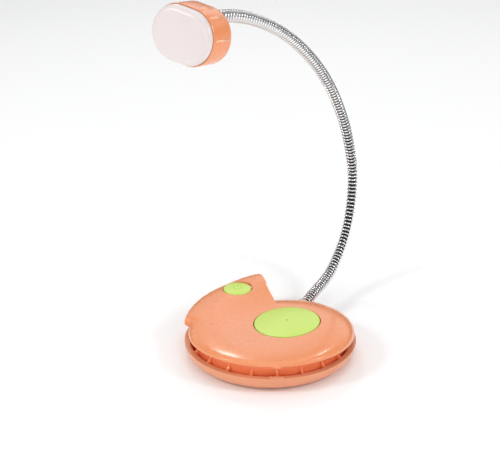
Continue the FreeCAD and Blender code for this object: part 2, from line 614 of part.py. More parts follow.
def stadium(radius, low, height, edge=0.0, at_top=True):
    """A stadium-shaped block with one rounded end edge."""
    half = size("HeadHalfFlat")
    right, left = Vector(half, 0, low), Vector(-half, 0, low)
    side = Vector(0, radius, 0)
    wire = Part.Wire([
        Part.LineSegment(left - side, right - side).toShape(),
        Part.ArcOfCircle(Part.Circle(right, Vector(0, 0, 1), radius), -math.pi / 2,
                         math.pi / 2).toShape(),
        Part.LineSegment(right + side, left + side).toShape(),
        Part.ArcOfCircle(Part.Circle(left, Vector(0, 0, 1), radius), math.pi / 2,
                         1.5 * math.pi).toShape()])
    block = Part.Face(wire).extrude(Vector(0, 0, height))
    if edge:
        level = low + height if at_top else low
        rim = [e for e in block.Edges
               if all(abs(v.Point.z - level) < 1e-6 for v in e.Vertexes)]
        block = block.makeFillet(edge, rim)
    return block


def head_place(neck_end):
    """Local frame of the head: Z out of the lens, X along the long side, origin at the rim."""
    heading, rise = math.radians(size("HeadHeading")), math.radians(size("HeadRise"))
    roll = math.radians(size("HeadRoll"))
    front = Vector(math.cos(rise) * math.cos(heading), math.cos(rise) * math.sin(heading),
                   math.sin(rise))
    level = Vector(0, 0, 1).cross(front).normalize()
    upright = front.cross(level)
    long_side = level * math.cos(roll) + upright * math.sin(roll)
    short_side = front.cross(long_side)
    turn = Rotation(long_side, short_side, front, "ZXY")
    # the neck enters the back above its centre
    back_centre = neck_end - short_side * size("EntryRise")
    return Placement(back_centre + front * size("HeadDepth"), turn)


def lamp_head(neck_end):
    where = head_place(neck_end)
    radius, depth, wall = size("HeadRadius"), size("HeadDepth"), size("HeadWall")
    shell = stadium(radius, -depth, depth, size("HeadEdge"), at_top=False)
    hollow = stadium(radius - wall, -depth + wall, depth)
    lip = stadium(radius - size("LensInset") + 0.05, -1.4, 2.0)
    housing = feature("HousingBlank", shell.cut(hollow.fuse(lip)), where)
    points = neck_joints()
    direction = link_direction(len(LINK_RISE) - 1)
    entry = primitive("Cylinder", "HeadEntry", pointing(points[-1] - direction * 4, direction),
                      Radius="Size.NeckRadius", Height="9")
    node("head_housing", cut("HeadHousing", housing, entry))
    collar = primitive("Cylinder", "HeadCollarOut", pointing(points[-1] - direction * 3.2, direction),
                       Radius="Size.CollarRadius + 0.4", Height="9")
    collar_in = primitive("Cylinder", "HeadCollarIn", pointing(points[-1] - direction * 5, direction),
                          Radius="Size.NeckRadius", Height="12")
    behind = feature("HeadBehind", stadium(radius + 8, -depth - 12, 12), where)
    node("head_collar", cut("HeadCollar", common("HeadCollarBack", collar, behind), collar_in))
    lens_radius = radius - size("LensInset")
    lens = stadium(lens_radius, -1.3, size("LensHeight") + 1.3, size("LensEdge"))
    lens_hollow = stadium(lens_radius - size("LensWall"), -1.4, size("LensHeight") + 1.4
                          - size("LensWall"), size("LensEdge") - 1.2)
    node("head_lens", feature("HeadLens", lens.cut(lens_hollow), where))
    tray = stadium(radius - wall - 0.2, -5.6, 4.1).cut(stadium(radius - wall - 1.2, -4.8, 6))
    slots = [Part.makeBox(4.2, 4.2, 4, Vector(x - 2.1, -2.1, -7)) for x in led_spots()]
    for slot in slots:
        tray = tray.cut(slot)
    node("head_reflector", feature("HeadReflector", tray, where))
    node("led_board", feature("LedBoard", stadium(radius - wall - 0.2, -6.7, 1.0), where))
    side = size("LedSize")
    leds = [Part.makeBox(side, side, 1.6, Vector(x - side / 2, -side / 2, -5.68))
            for x in led_spots()]
    node("leds", feature("Leds", Part.makeCompound(leds), where))


def led_spots():
    return (-6.0, 0.0, 6.0)


lower_shell()
battery_bay()
jaw_cover()
hinge()
upper_shell()
upper_fittings()
switch_bay()
power_button()
base_collar()
neck_points = neck()
lamp_head(neck_points[-1])
doc.recompute()

failed = [o.Name for o in doc.Objects if "Invalid" in o.State or "Error" in o.State]
if failed:
    raise RuntimeError("failed objects: %s" % failed)
os.makedirs("parts", exist_ok=True)
for label, solid in NODES.items():
    shape = solid.Shape
    if shape.isNull() or not shape.isValid():
        raise RuntimeError("%s is not a valid shape" % label)
    shape.exportStep("parts/%s.step" % label)
    print("%-16s solids %d volume %9.1f" % (label, len(shape.Solids), shape.Volume))
for index, point in enumerate(neck_points):
    print("neck end %d: %.2f %.2f %.2f" % (index, point.x, point.y, point.z))
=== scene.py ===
import json
import math

import bmesh
import bpy
import numpy as np
from mathutils import Matrix, Vector


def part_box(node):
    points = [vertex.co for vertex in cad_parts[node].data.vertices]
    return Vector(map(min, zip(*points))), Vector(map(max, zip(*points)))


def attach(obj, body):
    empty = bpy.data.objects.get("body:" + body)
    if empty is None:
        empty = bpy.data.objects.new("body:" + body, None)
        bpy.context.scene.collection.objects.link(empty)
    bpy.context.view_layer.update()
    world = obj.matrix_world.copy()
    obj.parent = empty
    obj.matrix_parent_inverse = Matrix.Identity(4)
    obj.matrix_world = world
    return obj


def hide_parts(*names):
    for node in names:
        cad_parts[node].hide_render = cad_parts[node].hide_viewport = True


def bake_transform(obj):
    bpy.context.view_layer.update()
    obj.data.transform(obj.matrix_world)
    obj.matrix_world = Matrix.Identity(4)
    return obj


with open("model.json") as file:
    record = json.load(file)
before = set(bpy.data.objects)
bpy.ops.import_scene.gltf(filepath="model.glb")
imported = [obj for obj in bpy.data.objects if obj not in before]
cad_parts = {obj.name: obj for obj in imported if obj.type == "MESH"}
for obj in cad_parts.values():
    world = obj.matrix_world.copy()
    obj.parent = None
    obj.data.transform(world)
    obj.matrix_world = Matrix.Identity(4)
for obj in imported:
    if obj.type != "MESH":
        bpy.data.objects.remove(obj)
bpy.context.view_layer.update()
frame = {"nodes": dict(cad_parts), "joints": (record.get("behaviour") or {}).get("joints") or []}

mm = 0.001
mergeDistance = 2e-6
nodes = frame["nodes"]
joints = {joint["name"]: joint for joint in frame["joints"]}
collection = bpy.context.scene.collection


class Socket:
    def __init__(self, tree, link):
        self.tree, self.link = tree, link

    def maths(self, operation, *others):
        return self.tree.node("ShaderNodeMath", {"operation": operation}, [self, *others])

    def __add__(self, other):
        return self.maths("ADD", other)

    def __sub__(self, other):
        return self.maths("SUBTRACT", other)

    def __mul__(self, other):
        return self.maths("MULTIPLY", other)

    def __pow__(self, other):
        return self.maths("POWER", other)

    def __rsub__(self, other):
        return self.tree.node("ShaderNodeMath", {"operation": "SUBTRACT"}, [other, self])


class Tree:
    def __init__(self, nodeTree):
        self.nodeTree = nodeTree

    def node(self, kind, settings, inputs, output=0):
        made = self.nodeTree.nodes.new(kind)
        for name, value in settings.items():
            if name == "stops":
                fillRamp(made.color_ramp, value)
            else:
                setattr(made, name, value)
        pairs = inputs.items() if isinstance(inputs, dict) else enumerate(inputs)
        for name, value in pairs:
            if isinstance(value, Socket):
                self.nodeTree.links.new(value.link, made.inputs[name])
            else:
                made.inputs[name].default_value = value
        return Socket(self, made.outputs[output])

    def mix(self, factor, first, second):
        inputs = {0: factor, 6: first, 7: second}
        return self.node("ShaderNodeMix", {"data_type": "RGBA"}, inputs, 2)


def fillRamp(ramp, stops):
    while len(ramp.elements) < len(stops):
        ramp.elements.new(1.0)
    for element, (position, colour) in zip(ramp.elements, stops):
        element.position = position
        element.color = colour


def newMaterial(name, recipe):
    material = bpy.data.materials.new(name)
    material.use_nodes = True
    tree = Tree(material.node_tree)
    shader = material.node_tree.nodes["Principled BSDF"]
    for socket, value in recipe(tree).items():
        if isinstance(value, Socket):
            material.node_tree.links.new(value.link, shader.inputs[socket])
        else:
            shader.inputs[socket].default_value = value
    material.diffuse_color = (0.8, 0.6, 0.5, 1.0)
    return material


def objectPoint(tree):
    return tree.node("ShaderNodeTexCoord", {}, {}, "Object")


def noise(tree, scale, detail=3.0):
    return tree.node("ShaderNodeTexNoise", {}, {"Vector": objectPoint(tree), "Scale": scale,
                                                "Detail": detail}, "Fac")


def bump(tree, height, strength, distance):
    return tree.node("ShaderNodeBump", {}, {"Height": height, "Strength": strength,
                                            "Distance": distance}, "Normal")


moulding = {"drift": 38.0, "skin": 2600.0, "waves": 110.0, "smudge": 240.0,
            "skinShare": 0.05, "smudgeSpread": 0.12, "coatRoughness": 0.12, "ior": 1.48,
            "bumpStrength": 0.10, "bumpDepth": 0.0004}


def mouldingSkin(tree, colour, roughness, coat):
    # injection-moulded gloss plastic: smudges, flow waviness and a fine skin
    m = moulding
    smudge = noise(tree, m["smudge"], 4.0)
    waves = noise(tree, m["waves"], 1.0)
    skin = noise(tree, m["skin"], 2.0)
    return {"Base Color": colour,
            "Roughness": (smudge - 0.5) * m["smudgeSpread"] + roughness,
            "Coat Weight": coat, "Coat Roughness": m["coatRoughness"], "IOR": m["ior"],
            "Normal": bump(tree, waves + skin * m["skinShare"], m["bumpStrength"],
                           m["bumpDepth"])}


def mouldedPlastic(light, deep, roughness, coat):
    # its colour drifts faintly between two tones
    def recipe(tree):
        drift = noise(tree, moulding["drift"], 2.0)
        return mouldingSkin(tree, tree.mix(drift, light, deep), roughness, coat)
    return recipe


dishFinishAndBounce = {"lipRadius": 0.0360, "lipSharpness": 1600.0, "lipHeight": 0.0012,
              "heightSharpness": 1500.0, "roughness": 0.3, "coat": 0.3}


def dishPlastic(tree):
    # the same moulding; inside the lip the colour is painted deeper and redder, painted light
    # standing in for light bouncing about in the groove
    d = dishFinishAndBounce
    place = objectPoint(tree)
    x, y, z = (tree.node("ShaderNodeSeparateXYZ", {}, [place], k) for k in range(3))
    radius = (x * x + y * y) ** 0.5
    inside = tree.node("ShaderNodeClamp", {}, [(d["lipRadius"] - radius) * d["lipSharpness"]])
    above = tree.node("ShaderNodeClamp", {}, [(z - d["lipHeight"]) * d["heightSharpness"]])
    drift = noise(tree, moulding["drift"], 2.0)
    rim = tree.mix(drift, (0.80, 0.325, 0.172, 1), (0.77, 0.30, 0.155, 1))
    # painted light: the groove's deeper, redder colour stands in for light bouncing between the
    # jaws
    bounceGrooveColour = tree.mix(drift, (1.0, 0.27, 0.105, 1), (0.97, 0.25, 0.095, 1))
    return mouldingSkin(tree, tree.mix(inside * above, rim, bounceGrooveColour), d["roughness"], d["coat"])


def frosted(tree):
    mist = noise(tree, 60.0, 3.0)
    grain = noise(tree, 3200.0, 2.0)
    return {"Base Color": tree.mix(mist, (0.79, 0.71, 0.70, 1), (0.75, 0.67, 0.66, 1)),
            "Roughness": (grain - 0.5) * 0.15 + 0.36, "Coat Weight": 0.25, "Coat Roughness": 0.22,
            "Normal": bump(tree, grain, 0.06, 0.0001)}


def polishedChrome(tree):
    brush = noise(tree, 900.0, 3.0)
    stain = noise(tree, 150.0, 3.0)
    return {"Base Color": tree.mix(stain, (0.86, 0.86, 0.86, 1), (0.74, 0.74, 0.75, 1)),
            "Metallic": 1.0, "Roughness": brush * 0.08 + 0.08,
            "Normal": bump(tree, brush, 0.05, 0.0001)}


def metal(colour, roughness, scale=700.0):
    def recipe(tree):
        grain = noise(tree, scale, 4.0)
        worn = tuple(0.72 * channel for channel in colour[:3]) + (1.0,)
        return {"Base Color": tree.mix(grain, colour, worn), "Metallic": 1.0,
                "Roughness": grain * 0.2 + roughness, "Normal": bump(tree, grain, 0.1, 0.0001)}
    return recipe


def matt(colour, roughness=0.6, scale=1500.0):
    def recipe(tree):
        grain = noise(tree, scale, 3.0)
        dark = tuple(0.78 * channel for channel in colour[:3]) + (1.0,)
        return {"Base Color": tree.mix(grain, colour, dark), "Roughness": grain * 0.15 + roughness,
                "Normal": bump(tree, grain, 0.25, 0.0001)}
    return recipe


def paper(tree):
    fibre = noise(tree, 300.0)
    return {"Base Color": tree.mix(fibre, (0.98, 0.978, 0.975, 1), (0.95, 0.948, 0.945, 1)),
            "Roughness": fibre * 0.1 + 0.85, "Normal": bump(tree, fibre, 0.1, 0.0001)}


def solderMask(tree):
    tracks = tree.node("ShaderNodeTexBrick", {}, {"Vector": objectPoint(tree), "Scale": 420.0}, 1)
    grain = noise(tree, 900.0)
    return {"Base Color": tree.mix(tracks, (0.02, 0.20, 0.07, 1), (0.05, 0.32, 0.12, 1)),
            "Roughness": grain * 0.2 + 0.3, "Normal": bump(tree, tracks, 0.2, 0.0001)}


finishes = {
    "coralPlastic": mouldedPlastic((0.86, 0.305, 0.128, 1), (0.83, 0.28, 0.112, 1), 0.28, 0.4),
    # painted highlight: a lighter coral for the grip ridges, standing in for the highlights they
    # catch
    "coralRidgeHighlight": mouldedPlastic((0.97, 0.50, 0.30, 1), (0.95, 0.46, 0.27, 1), 0.25, 0.4),
    "coralDish": dishPlastic,
    "coralInner": mouldedPlastic((0.86, 0.28, 0.12, 1), (0.82, 0.25, 0.10, 1), 0.36, 0.2),
    "limePlastic": mouldedPlastic((0.60, 0.78, 0.145, 1), (0.565, 0.745, 0.122, 1), 0.34, 0.25),
    "frostedLens": frosted,
    "chrome": polishedChrome,
    # painted shade: the neck's core is near black so the gaps between the winding's turns read dark
    "neckCore": matt((0.012, 0.012, 0.014, 1), 0.75),
    "plainSteel": metal((0.58, 0.58, 0.60, 1), 0.28),
    "cellSteel": metal((0.72, 0.72, 0.74, 1), 0.2),
    "brassTin": metal((0.78, 0.66, 0.40, 1), 0.3),
    "rubber": matt((0.55, 0.20, 0.10, 1), 0.7),
    "blackPlastic": matt((0.03, 0.03, 0.03, 1), 0.5),
    "whitePlastic": mouldedPlastic((0.88, 0.88, 0.87, 1), (0.84, 0.84, 0.83, 1), 0.3, 0.2),
    "phosphor": matt((0.85, 0.66, 0.12, 1), 0.4),
    "redLead": matt((0.45, 0.02, 0.02, 1), 0.45),
    "solderMask": solderMask,
    # painted shade: a darkened lime for the small gate hole in the centre cap
    "gateHoleShade": matt((0.16, 0.22, 0.03, 1), 0.6),
    "floorPaper": paper,
}
materials = {name: newMaterial(name, recipe) for name, recipe in finishes.items()}
print("materials:", len(materials))


def addMesh(name, vertices, faces, material, smooth=True):
    mesh = bpy.data.meshes.new(name)
    mesh.from_pydata([tuple(v) for v in vertices], [], faces)
    mesh.update()
    piece = bpy.data.objects.new(name, mesh)
    collection.objects.link(piece)
    mesh.materials.append(materials[material])
    mesh.polygons.foreach_set("use_smooth", [smooth] * len(mesh.polygons))
    return piece


def recalcOutward(piece):
    work = bmesh.new()
    work.from_mesh(piece.data)
    bmesh.ops.remove_doubles(work, verts=work.verts, dist=mergeDistance)
    bmesh.ops.recalc_face_normals(work, faces=work.faces)
    work.to_mesh(piece.data)
    work.free()
    return piece


def applyAll(piece):
    # turns the evaluated result into the piece's plain mesh
    graph = bpy.context.evaluated_depsgraph_get()
    made = bpy.data.meshes.new_from_object(piece.evaluated_get(graph))
    piece.modifiers.clear()
    piece.data = made
    return piece


def sharpByAngle(piece, degrees):
    mesh = piece.data
    mesh.polygons.foreach_set("use_smooth", [True] * len(mesh.polygons))
    work = bmesh.new()
    work.from_mesh(mesh)
    limit = math.radians(degrees)
    for edge in work.edges:
        edge.smooth = len(edge.link_faces) == 2 and edge.calc_face_angle(0.0) < limit
    work.to_mesh(mesh)
    work.free()


def grid(rows, closedAround=False, capEnds=False):
    # vertices and faces from rows of points; closedAround joins each row's ends
    count = len(rows[0])
    vertices = [point for row in rows for point in row]
    faces = []
    around = count if closedAround else count - 1
    for i in range(len(rows) - 1):
        for j in range(around):
            k = (j + 1) % count
            faces.append((i * count + j, i * count + k, (i + 1) * count + k, (i + 1) * count + j))
    if capEnds:
        faces.append(tuple(range(count))[::-1])
        faces.append(tuple((len(rows) - 1) * count + j for j in range(count)))
    return vertices, faces


def finishPiece(piece, body, slotName, *replaced):
    if body:
        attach(piece, body)
    if replaced:
        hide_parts(*replaced)


def lathe(name, profile, place, material, steps=96):
    # spins (radius, height) pairs about the place's Z axis
    rows = []
    for radius, height in profile:
        rows.append([place @ Vector((radius * math.cos(a), radius * math.sin(a), height))
                     for a in np.linspace(0, 2 * math.pi, steps, endpoint=False)])
    vertices, faces = grid(rows, closedAround=True, capEnds=True)
    return recalcOutward(addMesh(name, vertices, faces, material))


discForm = {"axisRadius": 0.02, "edgeSteps": 6, "crownShares": (0.85, 0.65, 0.45, 0.25, 0.1)}


def roundedDisc(radius, low, high, edge, crown):
    # profile of a disc with a rounded top edge and a crowned top
    d = discForm
    points = [(d["axisRadius"] * mm, low), (radius, low)]
    for i in range(d["edgeSteps"] + 1):
        a = 0.5 * math.pi * i / d["edgeSteps"]
        points.append((radius - edge + edge * math.cos(a), high - edge + edge * math.sin(a)))
    inner = radius - edge
    for share in d["crownShares"]:
        points.append((inner * share, high + crown * (1 - share ** 2)))
    points.append((d["axisRadius"] * mm, high + crown))
    return points


def circlePoints(centre, first, second, radius, steps):
    # a circle in the plane of two unit vectors
    return [centre + first * (radius * math.cos(a)) + second * (radius * math.sin(a))
            for a in np.linspace(0, 2 * math.pi, steps, endpoint=False)]


def repeatTree(name, material, sizes, makeShape):
    # instances one small shape on every point; 'out' on a point is the way it faces
    tree = bpy.data.node_groups.new(name, "GeometryNodeTree")
    tree.interface.new_socket("Geometry", in_out="INPUT", socket_type="NodeSocketGeometry")
    for label in sizes:
        tree.interface.new_socket(label, in_out="INPUT", socket_type="NodeSocketFloat")
    tree.interface.new_socket("Geometry", in_out="OUTPUT", socket_type="NodeSocketGeometry")
    start, end = tree.nodes.new("NodeGroupInput"), tree.nodes.new("NodeGroupOutput")
    link = tree.links.new

    def add(kind, **settings):
        made = tree.nodes.new(kind)
        for key, value in settings.items():
            setattr(made, key, value)
        return made

    shape = makeShape(add, link, start)
    heading = add("GeometryNodeInputNamedAttribute", data_type="FLOAT_VECTOR")
    heading.inputs["Name"].default_value = "out"
    turn = add("FunctionNodeAlignRotationToVector", axis="Z")
    link(heading.outputs["Attribute"], turn.inputs["Vector"])
    spread = add("GeometryNodeInstanceOnPoints")
    link(start.outputs["Geometry"], spread.inputs["Points"])
    link(shape, spread.inputs["Instance"])
    link(turn.outputs["Rotation"], spread.inputs["Rotation"])
    real = add("GeometryNodeRealizeInstances")
    link(spread.outputs["Instances"], real.inputs["Geometry"])
    paint = add("GeometryNodeSetMaterial")
    paint.inputs["Material"].default_value = materials[material]
    link(real.outputs["Geometry"], paint.inputs["Geometry"])
    smooth = add("GeometryNodeSetShadeSmooth")
    link(paint.outputs["Geometry"], smooth.inputs["Geometry"])
    link(smooth.outputs["Geometry"], end.inputs["Geometry"])
    return tree


def repeated(name, points, headings, tree, sizes, material):
    # a plain mesh with a tree's shape at every point
    mesh = bpy.data.meshes.new(name)
    mesh.from_pydata([tuple(p) for p in points], [], [])
    mesh.materials.append(materials[material])
    way = mesh.attributes.new("out", "FLOAT_VECTOR", "POINT")
    way.data.foreach_set("vector", [c for h in headings for c in h])
    piece = bpy.data.objects.new(name, mesh)
    collection.objects.link(piece)
    modifier = piece.modifiers.new(name, "NODES")
    modifier.node_group = tree
    for item in tree.interface.items_tree:
        if item.in_out == "INPUT" and item.name in sizes:
            modifier[item.identifier] = sizes[item.name]
    return applyAll(piece)


facets = {"turn": 12, "wire": 4, "ridge": 12}


def windingShape(add, link, start):
    # one turn of round wire
    ring = add("GeometryNodeCurvePrimitiveCircle")
    ring.inputs["Resolution"].default_value = facets["turn"]
    link(start.outputs["Turn radius"], ring.inputs["Radius"])
    wire = add("GeometryNodeCurvePrimitiveCircle")
    wire.inputs["Resolution"].default_value = facets["wire"]
    link(start.outputs["Wire radius"], wire.inputs["Radius"])
    sweep = add("GeometryNodeCurveToMesh")
    link(ring.outputs["Curve"], sweep.inputs["Curve"])
    link(wire.outputs["Curve"], sweep.inputs["Profile Curve"])
    return sweep.outputs["Mesh"]


def ridgeShape(add, link, start):
    # a slim round bar along its Z axis
    bar = add("GeometryNodeMeshCylinder")
    bar.inputs["Vertices"].default_value = facets["ridge"]
    link(start.outputs["Ridge radius"], bar.inputs["Radius"])
    link(start.outputs["Ridge length"], bar.inputs["Depth"])
    return bar.outputs["Mesh"]


windingTree = repeatTree("neckWinding", "chrome", ["Turn radius", "Wire radius"], windingShape)
ridgeTree = repeatTree("gripRidges", "coralRidgeHighlight", ["Ridge radius", "Ridge length"], ridgeShape)


# a spiral outline: the disc at the front and right, the lobe at the back left
upperJaw = {
    "discCentre": 7.4, "frontCentre": 0.5, "frontRadius": 36.75, "backRadius": 29.85,
    "capEdge": 14.95, "capHeight": 14.7, "capRise": 0.93, "capBlend": 0.75, "wall": 1.25,
    "mouthAngle": 103.8, "leftStep": 171.5, "stepWidth": 1.0, "stepBlend": 26.0,
    "stepPower": 6,
    "lobeStart": (-38.5, 5.0), "lobeMiddle": (-26.6, 35.4), "lobeTip": (-4.6, 50.3),
    "lobeRise": 1.25, "lobeFade": 100.0, "tipRise": 2.1, "tipFade": 24.0, "lip": 10.0,
    "meetHeight": 9.0, "meetSlope": 0.0762, "tipRound": 2.0, "shoulder": 2.5, "lobeShoulder": 5.0,
    "rimDepth": 0.9, "lipDepth": 1.6,
}


def circleThrough(a, b, c):
    ax, ay, bx, by, cx, cy = *a, *b, *c
    d = 2 * (ax * (by - cy) + bx * (cy - ay) + cx * (ay - by))
    a2, b2, c2 = ax * ax + ay * ay, bx * bx + by * by, cx * cx + cy * cy
    x = (a2 * (by - cy) + b2 * (cy - ay) + c2 * (ay - by)) / d
    y = (a2 * (cx - bx) + b2 * (ax - cx) + c2 * (bx - ax)) / d
    return x, y, math.hypot(ax - x, ay - y)


lobeX, lobeY, lobeR = circleThrough(upperJaw["lobeStart"], upperJaw["lobeMiddle"],
                                    upperJaw["lobeTip"])


def rayToCircle(angle, x, y, radius):
    # distance from the disc's centre along a ray to a circle
    ux, uy = math.cos(angle), math.sin(angle)
    dx, dy = upperJaw["discCentre"] - x, -y
    along = ux * dx + uy * dy
    return -along + math.sqrt(along ** 2 - dx * dx - dy * dy + radius ** 2)


def smoothStep(value):
    value = min(max(value, 0.0), 1.0)
    return value * value * (3 - 2 * value)


def outlineAt(degrees, level=1.0):
    # plan radius, and how much of the lobe's overhang there is, at one angle of the spiral;
    # the overhang ends sharply at the lip, level 1, and softly over the top
    u = upperJaw
    angle = math.radians(degrees)
    front = rayToCircle(angle, u["frontCentre"], 0.0, u["frontRadius"])
    if degrees >= 360.0:
        return u["backRadius"], 0.0
    lobe = rayToCircle(angle, lobeX, lobeY, lobeR)
    alongMouth = lobe * math.radians(degrees - u["mouthAngle"])
    if alongMouth < u["tipRound"]:
        r = u["tipRound"]
        lobe -= r - math.sqrt(max(r * r - (r - alongMouth) ** 2, 0.0))
    width = u["stepWidth"] + u["stepBlend"] * (1.0 - level ** u["stepPower"])
    share = 1.0 - smoothStep((degrees - u["leftStep"] + (width - u["stepWidth"]) / 2) / width)
    return front + (lobe - front) * share, share


def shellPoint(degrees, share):
    # a point of the outer skin; share runs from the cap's edge, 0, to the widest line, 1
    u = upperJaw
    angle = math.radians(degrees)
    outline = outlineAt(degrees, share)[0]
    radius = u["capEdge"] + (outline - u["capEdge"]) * share
    x = u["discCentre"] + radius * math.cos(angle)
    y = radius * math.sin(angle)
    wide = wideHeight(degrees, share)
    raised = 1.0 - smoothStep((degrees - u["mouthAngle"]) / u["lobeFade"])
    capEdge = u["capHeight"] + u["capRise"] * math.cos(angle)
    top = u["capHeight"] + u["capRise"] * max(math.cos(angle), 0.0) + u["lobeRise"] * raised
    nearTip = 1.0 - smoothStep((degrees - u["mouthAngle"]) / u["tipFade"])
    top += u["tipRise"] * nearTip * share ** 2
    top = capEdge + (top - capEdge) * smoothStep(share / u["capBlend"])
    power = u["shoulder"] + (u["lobeShoulder"] - u["shoulder"]) * raised
    z = wide + (top - wide) * (1.0 - share ** power) ** (1.0 / power)
    return Vector((x, y, z)) * mm


def wideHeight(degrees, level=1.0):
    # height of the widest line over the base
    u = upperJaw
    outline, overhang = outlineAt(degrees, level)
    y = outline * math.sin(math.radians(degrees))
    rim = u["meetHeight"] - u["meetSlope"] * y + u["rimDepth"]
    return rim + (u["lip"] + u["lipDepth"] - rim) * overhang


# drops below the widest line with their insets, and how the lobe changes both
skirt = {"steps": ((0.35, 0.02), (0.65, 0.10), (0.85, 0.24), (0.95, 0.42)),
         "drop": 0.95, "lobeDrop": 0.75, "lobeTuck": 0.6}


def skirtPoints(degrees):
    # from the widest line down to the rim, tucking in
    u = upperJaw
    outline, overhang = outlineAt(degrees)
    angle = math.radians(degrees)
    wide = wideHeight(degrees)
    points = []
    for drop, inset in skirt["steps"]:
        drop *= skirt["drop"] + skirt["lobeDrop"] * overhang
        inset *= 1.0 - skirt["lobeTuck"] * overhang
        radius = outline - inset
        y = radius * math.sin(angle)
        points.append(Vector((u["discCentre"] + radius * math.cos(angle), y, wide - drop)) * mm)
    return points


# how finely the shell is divided: rows from cap to edge, and degrees around
shellMesh = {"rows": 35, "crowding": 1.8, "step": 2.0, "tipSpan": 6, "tipStep": 0.6,
             "lipMargin": 1, "lipStep": 0.2, "seatDrop": 1.3}


def upperShell():
    u, m = upperJaw, shellMesh
    shares = [1.0 - (1.0 - i / (m["rows"] - 1)) ** m["crowding"] for i in range(m["rows"])]
    tipEnd = u["mouthAngle"] + m["tipSpan"]
    lipStart = u["leftStep"] - m["lipMargin"]
    lipEnd = u["leftStep"] + u["stepWidth"] + m["lipMargin"]
    last = 360.0 + u["mouthAngle"]
    steps = list(np.arange(u["mouthAngle"], tipEnd, m["tipStep"]))
    steps += list(np.arange(tipEnd, lipStart, m["step"]))
    steps += list(np.arange(lipStart, lipEnd, m["lipStep"]))
    steps += list(np.arange(lipEnd, last, m["step"]))
    steps.append(last)
    rows = []
    for degrees in steps:
        row = [shellPoint(degrees, share) for share in shares] + skirtPoints(degrees)
        seat = row[0] - Vector((0, 0, m["seatDrop"] * mm))
        rows.append([seat] + row)
    vertices, faces = grid(rows)
    count = len(rows[0])
    end = (len(rows) - 1) * count
    for j in range(count - 1):
        faces.append((j + 1, j, end + j, end + j + 1))
    piece = addMesh("upperShellSkin", vertices, faces, "coralPlastic")
    recalcOutward(piece)
    solid = piece.modifiers.new("wall", "SOLIDIFY")
    solid.thickness = u["wall"] * mm
    solid.offset = -1.0
    applyAll(piece)
    return piece


buttonSpec = {"x": -15.2, "y": 33.0, "radius": 6.6, "gap": 0.40, "lift": 0.35, "edge": 0.8,
              "crown": 0.35, "flange": 7.2, "flangeFoot": -2.6, "flangeTop": -2.05,
              "waist": -2.0, "side": -1.9, "holeFoot": 11, "holeDepth": 12,
              "markRadius": 1.9, "markWire": 0.26, "markSides": 8, "markSteps": 37,
              "markFrom": 125, "markTo": 415, "markSink": 0.05,
              "barStops": (0.2, 0.3, 1.1, 1.2), "barTaper": 0.6, "barShift": 0.2}


def buttonPlace():
    # on the solid button's axis, level with its top
    lowest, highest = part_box("power_button")
    return Matrix.Translation(Vector(((lowest[0] + highest[0]) / 2, (lowest[1] + highest[1]) / 2,
                                      highest[2])))


def cutHole(piece, centre, direction, radius, length):
    axisRadius, steps = 0.01 * mm, 72
    place = Matrix.Translation(centre) @ direction.to_track_quat("Z", "Y").to_matrix().to_4x4()
    drill = lathe("drill", [(axisRadius, 0.0), (radius, 0.0), (radius, length),
                            (axisRadius, length)], place, "coralPlastic", steps)
    modifier = piece.modifiers.new("hole", "BOOLEAN")
    modifier.operation = "DIFFERENCE"
    modifier.solver = "EXACT"
    modifier.object = drill
    applyAll(piece)
    bpy.data.objects.remove(drill)


def powerMark(centre, s):
    # a raised broken ring with a short bar: the generic on/off sign
    radius, wire = s["markRadius"] * mm, s["markWire"] * mm
    rows = []
    across, up = Vector((1, 0, 0)), Vector((0, 0, 1))
    for a in np.linspace(math.radians(s["markFrom"]), math.radians(s["markTo"]), s["markSteps"]):
        spot = centre + Vector((radius * math.cos(a), radius * math.sin(a), 0))
        way = Vector((math.cos(a), math.sin(a), 0))
        rows.append(circlePoints(spot, way, up, wire, s["markSides"]))
    vertices, faces = grid(rows, closedAround=True, capEnds=True)
    mark = recalcOutward(addMesh("powerMarkRing", vertices, faces, "limePlastic"))
    rows = []
    for t in s["barStops"]:
        spot = centre + Vector((0, radius * t + s["barShift"] * mm, 0))
        atEnd = t in (s["barStops"][0], s["barStops"][-1])
        thick = wire * (s["barTaper"] if atEnd else 1.0)
        rows.append(circlePoints(spot, across, up, thick, s["markSides"]))
    vertices, faces = grid(rows, closedAround=True, capEnds=True)
    bar = recalcOutward(addMesh("powerMarkBar", vertices, faces, "limePlastic"))
    return mark, bar


rimTabSpec = {"x": 2.9, "width": 3.6, "drop": 0.35, "inset": 0.08, "thick": 1.0,
              "samples": 9, "endSlope": 6.0, "endShare": 0.15,
              "side": 1.0, "foot": 1.15, "chamfer": 0.25}


def rimTab():
    # the little tongue under the front of the rim, over the thumb bump
    u, t = upperJaw, rimTabSpec
    rows = []
    for x in np.linspace(-0.5, 0.5, t["samples"]):
        sideways = t["x"] + x * t["width"] - u["discCentre"]
        degrees = math.degrees(math.atan2(-u["frontRadius"], sideways))
        outline = outlineAt(degrees % 360.0)[0]
        wide = wideHeight(degrees % 360.0)
        drop = t["drop"] * min(1.0, t["endSlope"] * (0.5 - abs(x)) + t["endShare"])
        angle = math.radians(degrees)
        row = []
        for inset, z in ((t["inset"], wide), (t["inset"], wide - t["side"] - drop),
                         (t["inset"] + t["chamfer"], wide - t["foot"] - drop),
                         (t["inset"] + t["thick"], wide - t["foot"] - drop),
                         (t["inset"] + t["thick"], wide)):
            radius = outline - inset
            row.append(Vector((u["discCentre"] + radius * math.cos(angle), radius * math.sin(angle),
                               z)) * mm)
        rows.append(row)
    vertices, faces = grid(rows, closedAround=True, capEnds=True)
    tab = recalcOutward(addMesh("upperRimTab", vertices, faces, "coralPlastic"))
    sharpByAngle(tab, 40.0)
    finishPiece(tab, "upper_jaw", "coral_plastic")


capSpec = {"gap": 0.36, "foot": -1.3, "top": 0.32, "edge": 0.4, "crown": 0.75,
           "gateRadius": 0.45, "gateFoot": 0.6, "gateTop": 1.09, "gateEdge": 0.08,
           "gateCrown": 0.01}


